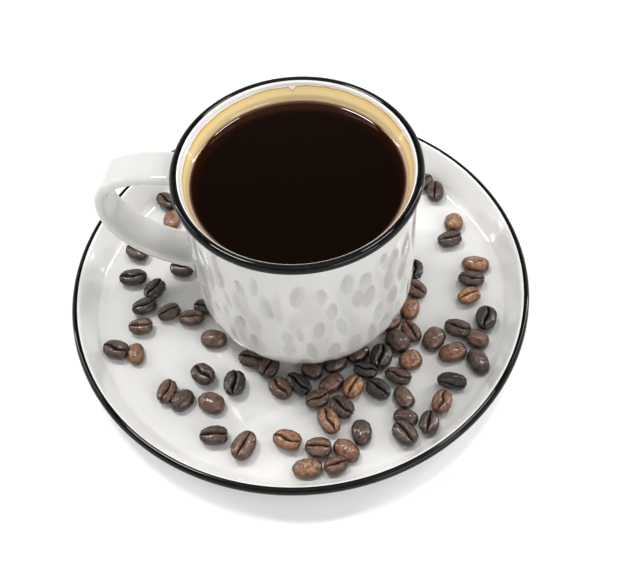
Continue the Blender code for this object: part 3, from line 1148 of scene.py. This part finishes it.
BEANS = (
    Bean(1, -55.2, 52.2, -40, SEAM, 10.4, 7.4, DARK, SEAM_S),
    Bean(2, -53, 42, 80, BACK, 10.4, 7.4, LIGHT, SEAM_S),
    Bean(3, -67, 26, -30, SEAM, 10.4, 7.4, DARK, SEAM_C),
    Bean(4, -48, 16, -15, SEAM, 10, 7.4, DARK, SEAM_PLAIN),
    Bean(5, -68, 13, 0, SEAM, 11.4, 7.6, BLACK, SEAM_WAVY),
    Bean(6, -59.1, 6.3, 55, SEAM, 10, 7.6, BLACK, FOLDED),
    Bean(6, -62.9, -1.3, 25, SEAM, 10.4, 7.2, BLACK, SEAM_S),
    Bean(7, -53, -5, 30, SEAM, 9.4, 7, DARK, SEAM_C),
    Bean(8, -43.8, -8.4, 0, SEAM, 10.2, 6.8, MEDIUM, SEAM_PLAIN),
    Bean(8, -38.2, -3.6, -5, SEAM, 9.6, 7, BLACK, SEAM_WAVY),
    Bean(9, -64, -11, 5, SEAM, 9.6, 7.2, MEDIUM, FOLDED),
    Bean(10, -73.3, -21, -20, SEAM, 10.4, 8, DARK, SEAM_S),
    Bean(10, -65.7, -23, 100, BACK, 9.4, 6.8, LIGHT, SEAM_C),
    Bean(11, -35, -19, -10, BACK, 10.4, 8, MEDIUM, SEAM_PLAIN),
    Bean(12, -20.3, -29.4, -15, SEAM, 10.4, 7.6, DARK, SEAM_C),
    Bean(12, -13.7, -33.6, 60, SEAM, 9.6, 7.6, DARK, SEAM_PLAIN),
    Bean(13, -39, -35, -45, SEAM, 10, 8.2, DARK, SEAM_WAVY),
    Bean(14, -27, -40, 85, SEAM, 10.4, 8.6, BLACK, FOLDED),
    Bean(15, -52.9, -41.1, 70, SEAM, 10.2, 7.2, MEDIUM, SEAM_S),
    Bean(15, -47.1, -44.9, 40, BACK, 10, 8, DARK, SEAM_WAVY),
    Bean(16, -36, -47, -30, BACK, 10.6, 8.4, MEDIUM, SEAM_S),
    Bean(17, -35, -61, 0, SEAM, 10.6, 7.6, DARK, SEAM_C),
    Bean(18, -24, -66, 60, SEAM, 11.8, 8.4, MEDIUM, SEAM_PLAIN),
    Bean(19, -9.7, -43.4, -55, SEAM, 10.4, 7.8, MEDIUM, SEAM_WAVY),
    Bean(19, -2.8, -41.8, -45, SEAM, 11, 7.2, BLACK, FOLDED),
    Bean(20, 2.7, -35.8, -15, BACK, 8.6, 7.8, DARK, SEAM_C),
    Bean(21, -8, -65, -20, SEAM, 10.8, 8, LIGHT, SEAM_S),
    Bean(22, -1.3, -76.2, 0, BACK, 11, 7.4, LIGHT, FOLDED),
    Bean(23, 3.2, -68.8, -5, SEAM, 9.8, 7.8, MEDIUM, SEAM_C),
    Bean(24, 13.4, -70.3, -45, BACK, 10.8, 7.6, RED, SEAM_WAVY),
    Bean(24, 9.2, -76, 15, SEAM, 9, 6.8, MEDIUM, SEAM_PLAIN),
    Bean(25, 19.4, -63.7, 90, BACK, 10.4, 7.6, DARK, SEAM_S),
    Bean(26, 7.8, -58.4, -70, SEAM, 11.4, 7.8, LIGHT, SEAM_WAVY),
    Bean(26, 12.8, -53.1, -45, SEAM, 10.2, 8, DARK, FOLDED),
    Bean(27, 4.1, -48.8, 25, SEAM, 9.6, 7.2, MEDIUM, SEAM_S),
    Bean(27, 9.6, -42.2, 30, BACK, 10.4, 7, MEDIUM, SEAM_C),
    Bean(28, 17.7, -45, 60, SEAM, 9.8, 7.8, GOLD, SEAM_C),
    Bean(29, 27.2, -46.6, -45, SEAM, 10.2, 7.8, BLACK, SEAM_PLAIN),
    Bean(30, 11.9, -33.8, 20, BACK, 9.4, 7, DARK, SEAM_PLAIN),
    Bean(31, 21, -30, 30, BACK, 9.4, 6.8, DARK, SEAM_WAVY),
    Bean(32, 23.2, -37.8, -20, SEAM, 9.4, 7, BLACK, SEAM_WAVY),
    Bean(32, 29.5, -32.9, 75, SEAM, 10.2, 8.8, BLACK, FOLDED),
    Bean(33, 35.2, -41.4, -25, SEAM, 10.4, 6.6, DARK, SEAM_S),
    Bean(34, 36.5, -25.9, -45, BACK, 10.6, 8.8, DARK, SEAM_S),
    Bean(34, 42.2, -22, -65, SEAM, 10, 6.8, MEDIUM, SEAM_C),
    Bean(35, 40.5, -34.8, 20, BACK, 9.2, 8.2, LIGHT, SEAM_C),
    Bean(36, 35, -16.7, 30, BACK, 9.4, 6.8, RED, SEAM_PLAIN),
    Bean(37, 43.2, -11.4, 65, BACK, 9.6, 7.2, LIGHT, SEAM_WAVY),
    Bean(38, 46.2, -2.6, -45, SEAM, 10, 7.6, MEDIUM, SEAM_PLAIN),
    Bean(39, 47, 7, 75, SEAM, 9.4, 6.8, BLACK, SEAM_WAVY),
    Bean(40, 50.6, -26, 55, BACK, 10.6, 8.4, MEDIUM, SEAM_S),
    Bean(41, 57.1, -32.6, 15, BACK, 11.2, 7.8, RED, SEAM_C),
    Bean(42, 60.4, -22.3, -20, SEAM, 10.4, 7.6, DARK, FOLDED),
    Bean(42, 67.5, -27.4, -40, BACK, 9.4, 7.6, MEDIUM, SEAM_PLAIN),
    Bean(43, 72.1, -18.9, 75, SEAM, 10.6, 8.4, BLACK, SEAM_S),
    Bean(44, 66.4, -37.3, -75, BACK, 11.2, 7.8, DARK, SEAM_WAVY),
    Bean(45, 55.1, -45.8, -15, SIDE, 11.2, 7.4, BLACK, SEAM_S),
    Bean(46, 36.4, -50.3, -65, BACK, 9.6, 7, MEDIUM, SEAM_C),
    Bean(47, 36.3, -58.7, -15, BACK, 9.4, 6.6, DARK, SEAM_PLAIN),
    Bean(47, 35, -65.6, -55, SEAM, 10.4, 8.2, DARK, SEAM_C),
    Bean(48, 44.5, -61.9, 75, SEAM, 9.6, 7.4, DARK, SEAM_PLAIN),
    Bean(49, 50.3, -53.7, 65, SEAM, 9.8, 7.4, LIGHT, SEAM_WAVY),
    Bean(50, 66, 30, 80, BACK, 8.8, 8, LIGHT, SEAM_WAVY),
    Bean(51, 63, 21, 15, SEAM, 10.2, 7.4, DARK, FOLDED),
    Bean(52, 72, 8, -15, BACK, 11.2, 7.4, LIGHT, SEAM_S),
    Bean(53, 69.1, 0.5, -10, SEAM, 10.6, 7.2, DARK, SEAM_S),
    Bean(54, 66.9, -7.5, 25, SEAM, 9.4, 7.2, GOLD, SEAM_C),
    Bean(55, 60.1, 47, 80, SEAM, 10.2, 7.4, DARK, SEAM_PLAIN),
    Bean(55, 55.4, 52.6, 25, SEAM, 9.8, 7.4, DARK, SEAM_WAVY),
    Bean(56, 21.2, 63.4, 40, SEAM, 10.4, 7.6, DARK, FOLDED),
    Bean(56, 13.8, 66.6, -30, BACK, 10, 7.6, MEDIUM, SEAM_C),
    Bean(57, -19, 60, 15, SEAM, 10.2, 7.4, MEDIUM, SEAM_S),
)


@dataclass
class BeanMaker:
    """Models each form of bean once and lays copies of it on the saucer."""

    segments: int = 56
    rings: int = 32
    plan_power: float = 2.3
    face_power: float = 4.0
    height: float = 0.66         # of the width
    back_share: float = 0.62     # of the height
    shoulder_power: float = 3.0
    seam_depth: float = 0.80     # of the face's height
    seam_width: float = 0.115    # of the half width
    crowd: float = 0.42          # how closely vertices gather along the seam
    crown: float = 0.10          # height of the swollen lips beside the seam
    crown_place: float = 0.34
    crown_width: float = 0.20
    broad_folds: float = 0.05
    fine_folds: float = 2.6

    def model(self, form: Form) -> Piece:
        """Shape a ball into a bean of length, width and height 1, 1 and 0.66, seam up.

        Args:
            form: The form to model.

        Returns:
            The model, about the origin, with its seam, chaff and painted edge shade stored on it.
        """
        deselect_all()
        bpy.ops.mesh.primitive_uv_sphere_add(segments=self.segments, ring_count=self.rings,
                                             radius=1.0, rotation=(0.0, pi / 2, 0.0))
        bean = bpy.context.object
        bean.name = bean.data.name = "bean_model_" + form.name.lower()
        bpy.ops.object.transform_apply(location=False, rotation=True, scale=False)
        places, seam = self.sculpted(vertex_places(bean), form.value)
        move_vertices(bean, places)
        # Painted shade: this grows towards the bean's outline, where the material darkens the skin.
        painted_edge_shade = (np.abs(2.0 * places[:, :2]) ** self.plan_power).sum(axis=1)
        chaff = np.clip(seam * 1.8, 0.0, 1.0) * (1.2 - seam)
        for name, values in (("seam", seam), ("chaff", chaff), ("painted_edge_shade", painted_edge_shade)):
            store(bean, name, values)
        bpy.ops.object.mode_set(mode="EDIT")
        bpy.ops.mesh.select_all(action="SELECT")
        bpy.ops.mesh.normals_make_consistent(inside=False)
        bpy.ops.object.mode_set(mode="OBJECT")
        smooth(bean, 70.0)
        return bean

    def sculpted(self, ball: np.ndarray, shape: BeanShape) -> tuple[np.ndarray, np.ndarray]:
        """Move a unit ball's vertices to a bean's surface.

        Args:
            ball: Places on the ball, its poles on the x axis.
            shape: How the bean is formed.

        Returns:
            The new places, and how deep each lies in the seam, from 0 to 1.
        """
        station = np.clip(ball[:, 0], -1.0, 1.0)
        angle = np.arctan2(ball[:, 2], ball[:, 1])
        plan = (1.0 - np.abs(station) ** self.plan_power) ** (1 / self.plan_power)
        face = (1.0 - np.abs(station) ** self.face_power) ** (1 / self.face_power)
        upper = np.sin(angle) > 0.0
        across = np.cos(angle) * np.where(upper, 1.0 - self.crowd * np.sin(angle) ** 2, 1.0)
        shoulder = (1.0 - np.abs(across) ** self.shoulder_power) ** (1 / self.shoulder_power)
        rise = np.where(upper, shoulder, np.sin(angle))
        bend = shape.sway * np.sin(pi * shape.bends * (station + 1.0) / 2.0 + 0.6)
        side = across + np.where(upper, bend * (1.0 - across ** 2), 0.0)
        face_rise = self.height * (1.0 - self.back_share) * face
        back_drop = self.height * self.back_share * plan
        width = self.seam_width * (0.90 + 0.30 * np.sin(6.0 * station + 2.0 * shape.seed))
        seam = np.where(upper, np.exp(-(np.abs(across) / width) ** 1.5), 0.0)
        seam *= np.clip(1.0 - np.abs(station) ** 7, 0.0, 1.0)
        swell = np.exp(-((np.abs(across) - self.crown_place) / self.crown_width) ** 2)
        crowned = 1.0 + np.where(upper, self.crown * swell, 0.0)
        tall = rise * np.where(upper, face_rise * crowned, back_drop)
        tall -= self.seam_depth * face_rise * seam
        plan = plan * (1.0 + shape.egg * station)
        places = np.c_[station / 2.0, side * plan / 2.0, tall]
        return places * self.folds(places, shape)[:, None], seam

    def folds(self, places: np.ndarray, shape: BeanShape) -> np.ndarray:
        """Factors that raise and lower the skin in folds.

        Args:
            places: Places on the smooth bean.
            shape: How the bean is formed.

        Returns:
            One factor for each place, about 1.
        """
        offset = Vector((7.3 * shape.seed, -2.1 * shape.seed, 4.7 * shape.seed))
        factors = np.empty(len(places))
        for index, (x, y, z) in enumerate(places):
            spot = Vector((x * shape.fold * 1.6, y * shape.fold, z * shape.fold)) + offset
            broad = noise.noise(Vector((x, y, z)) * 2.2 + offset)
            crease = 1.0 - abs(noise.noise(spot)) * 2.0
            fine = self.fine_folds * shape.wrinkle * (crease - 0.6)
            factors[index] = 1.0 + self.broad_folds * broad + fine
        return factors

    def lay(self, bean: Bean, model: Piece, material: Material) -> Piece:
        """Copy a model, size and turn it, and rest it on the saucer's well.

        Args:
            bean: The bean's row.
            model: The form's model.
            material: The roast's material.

        Returns:
            The bean in its place.
        """
        made = bpy.data.objects.new(f"roasted_bean_{bean.node:02d}", model.data.copy())
        bpy.context.scene.collection.objects.link(made)
        made.data.materials.clear()
        made.data.materials.append(material)
        sizes = Matrix.Diagonal((bean.length * MM, bean.width * MM, bean.width * MM, 1.0))
        roll = Matrix.Rotation(radians(bean.up.value), 4, "X")
        turn = Matrix.Rotation(radians(bean.turn), 4, "Z")
        made.data.transform(turn @ roll @ sizes)
        lowest = vertex_places(made)[:, 2].min()
        place = (bean.x * MM, bean.y * MM, FLOOR_HEIGHT + RESTING - lowest)
        made.data.transform(Matrix.Translation(place))
        return made

    def build(self, beans: tuple[Bean, ...]) -> dict[int, Piece]:
        """Lay all beans, and join the two of a touching pair.

        Args:
            beans: The table of beans.

        Returns:
            One piece for each node's number.
        """
        models = {form: self.model(form) for form in Form}
        roasts = {roast: roast.value.make() for roast in Roast}
        pieces: dict[int, Piece] = {}
        for bean in beans:
            made = self.lay(bean, models[bean.form], roasts[bean.roast])
            first = pieces.setdefault(bean.node, made)
            if first is not made:
                activate(first)
                made.select_set(True)
                bpy.ops.object.join()
        for model in models.values():
            bpy.data.objects.remove(model)
        return pieces

    def dress(self, pieces: dict[int, Piece]) -> None:
        """Fix each bean in the frame in place of its solid."""
        for number, piece in pieces.items():
            settle_piece(piece, "bean", f"bean_{number:02d}")


# Table, light and camera


@dataclass(frozen=True)
class Softbox:
    """A square lamp: where it hangs, its size, its power in watts and what it points at."""

    name: str
    place: Triple
    size: tuple[float, float]
    power: float
    target: Triple = (0.0, 0.0, 0.02)


@dataclass
class Studio:
    """Pale table, soft lamps, a light sky and the camera."""

    softboxes: tuple[Softbox, ...] = (
        Softbox("key", (-0.35, 0.29, 1.12), (0.22, 0.22), 5.7),
        Softbox("second", (0.36, 0.28, 1.12), (0.14, 0.20), 3.1),
        Softbox("left_strip", (-0.95, 0.36, 0.62), (0.05, 0.90), 3.0),
        Softbox("right_strip", (0.95, 0.36, 0.62), (0.05, 0.90), 3.4),
        Softbox("fill", (0.75, -0.85, 0.72), (0.80, 0.60), 4.8, (0.0, 0.0, 0.05)),
    )
    sky: tuple[tuple[float, float], ...] = (  # greys from the horizon to overhead
        (0.0, 1.0), (0.40, 0.97), (0.62, 0.45), (0.76, 0.08), (0.88, 0.06), (0.93, 0.75),
        (1.0, 0.95))
    camera_place: Triple = (0.0078, -0.22497, 0.34074)
    camera_drop: float = radians(56.25)
    camera_roll: float = radians(-4.11)
    focal_pixels: float = 1000.0
    image_width: int = 640
    sensor: float = 36.0

    def build_floor(self) -> None:
        """Lay a wide pale table."""
        deselect_all()
        bpy.ops.mesh.primitive_circle_add(vertices=64, radius=3.0, fill_type="NGON",
                                          location=(0.0, 0.0, -0.0002))
        floor = bpy.context.object
        floor.name = "pale_table"
        recipe = Recipe("pale_table")
        clouds = recipe.noise(recipe.place(), 3.0, 2.0)
        recipe.set(Base_Color=recipe.ramp(clouds, (0.3, (0.90,) * 3), (0.7, (0.92,) * 3)),
                   Roughness=0.9, Specular_IOR_Level=0.1)
        floor.data.materials.append(recipe.material)

    def build_lamps(self) -> None:
        """Hang the softboxes."""
        for box in self.softboxes:
            lamp = bpy.data.lights.new(box.name, "AREA")
            lamp.shape = "RECTANGLE"
            lamp.size, lamp.size_y = box.size
            lamp.energy = box.power
            holder = bpy.data.objects.new(box.name, lamp)
            holder.location = box.place
            aim = Vector(box.target) - Vector(box.place)
            holder.rotation_euler = aim.to_track_quat("-Z", "Y").to_euler()
            bpy.context.scene.collection.objects.link(holder)

    def build_sky(self) -> None:
        """Light the surroundings: bright low down, dark high up, and bright again overhead."""
        world = bpy.data.worlds.new("studio_sky")
        bpy.context.scene.world = world
        world.use_nodes = True
        nodes = Nodes(world.node_tree)
        height = nodes.parts(nodes.node("TexCoord").outputs["Generated"])["Z"]
        greys = nodes.ramp(height, *((place, (grey,) * 3) for place, grey in self.sky))
        nodes.feed(nodes.tree.nodes["Background"].inputs["Color"], greys)

    def build_camera(self) -> None:
        """Set the camera where the photograph was taken from."""
        data = bpy.data.cameras.new("camera")
        data.sensor_width = self.sensor
        data.lens = self.focal_pixels / self.image_width * self.sensor
        data.clip_start = 0.01
        camera = bpy.data.objects.new("camera", data)
        forward = Vector((0.0, cos(self.camera_drop), -sin(self.camera_drop)))
        level = Vector((1.0, 0.0, 0.0))
        above = level.cross(forward)
        right = cos(self.camera_roll) * level + sin(self.camera_roll) * above
        up = -sin(self.camera_roll) * level + cos(self.camera_roll) * above
        turn = Matrix((right, up, -forward)).transposed().to_4x4()
        camera.matrix_world = Matrix.Translation(self.camera_place) @ turn
        bpy.context.scene.collection.objects.link(camera)
        bpy.context.scene.camera = camera

    def build(self) -> None:
        """Set up the table, the lamps, the sky and the camera."""
        self.build_floor()
        self.build_lamps()
        self.build_sky()
        self.build_camera()
        bpy.context.scene.view_settings.view_transform = "Standard"


def main() -> None:
    """Build the studio, the saucer, the mug, the coffee and the beans, in that order."""
    logging.basicConfig(level=logging.INFO, format="%(name)s: %(message)s")
    Studio().build()
    black, stained = BlackGlaze().make(), StainedGlaze().make()
    saucer = Saucer()
    saucer_white = WhiteGlaze("saucer_glaze", (0.80, 0.79, 0.77), (0.77, 0.76, 0.735)).make()
    saucer.dress(saucer.build(), saucer_white, black)
    mug = Mug()
    # Painted shade: the mug's white is a darker copy of the saucer's white glaze.
    mug_white_painted_shade = WhiteGlaze("mug_glaze_painted_shade", (0.64, 0.63, 0.608), (0.612, 0.602, 0.578)).make()
    mug.dress(mug.build([mug_white_painted_shade, black, stained]))
    coffee = Coffee()
    coffee.dress(coffee.build(), CoffeeFinish().make())
    maker = BeanMaker()
    maker.dress(maker.build(BEANS))


if __name__ == "__main__":
    main()
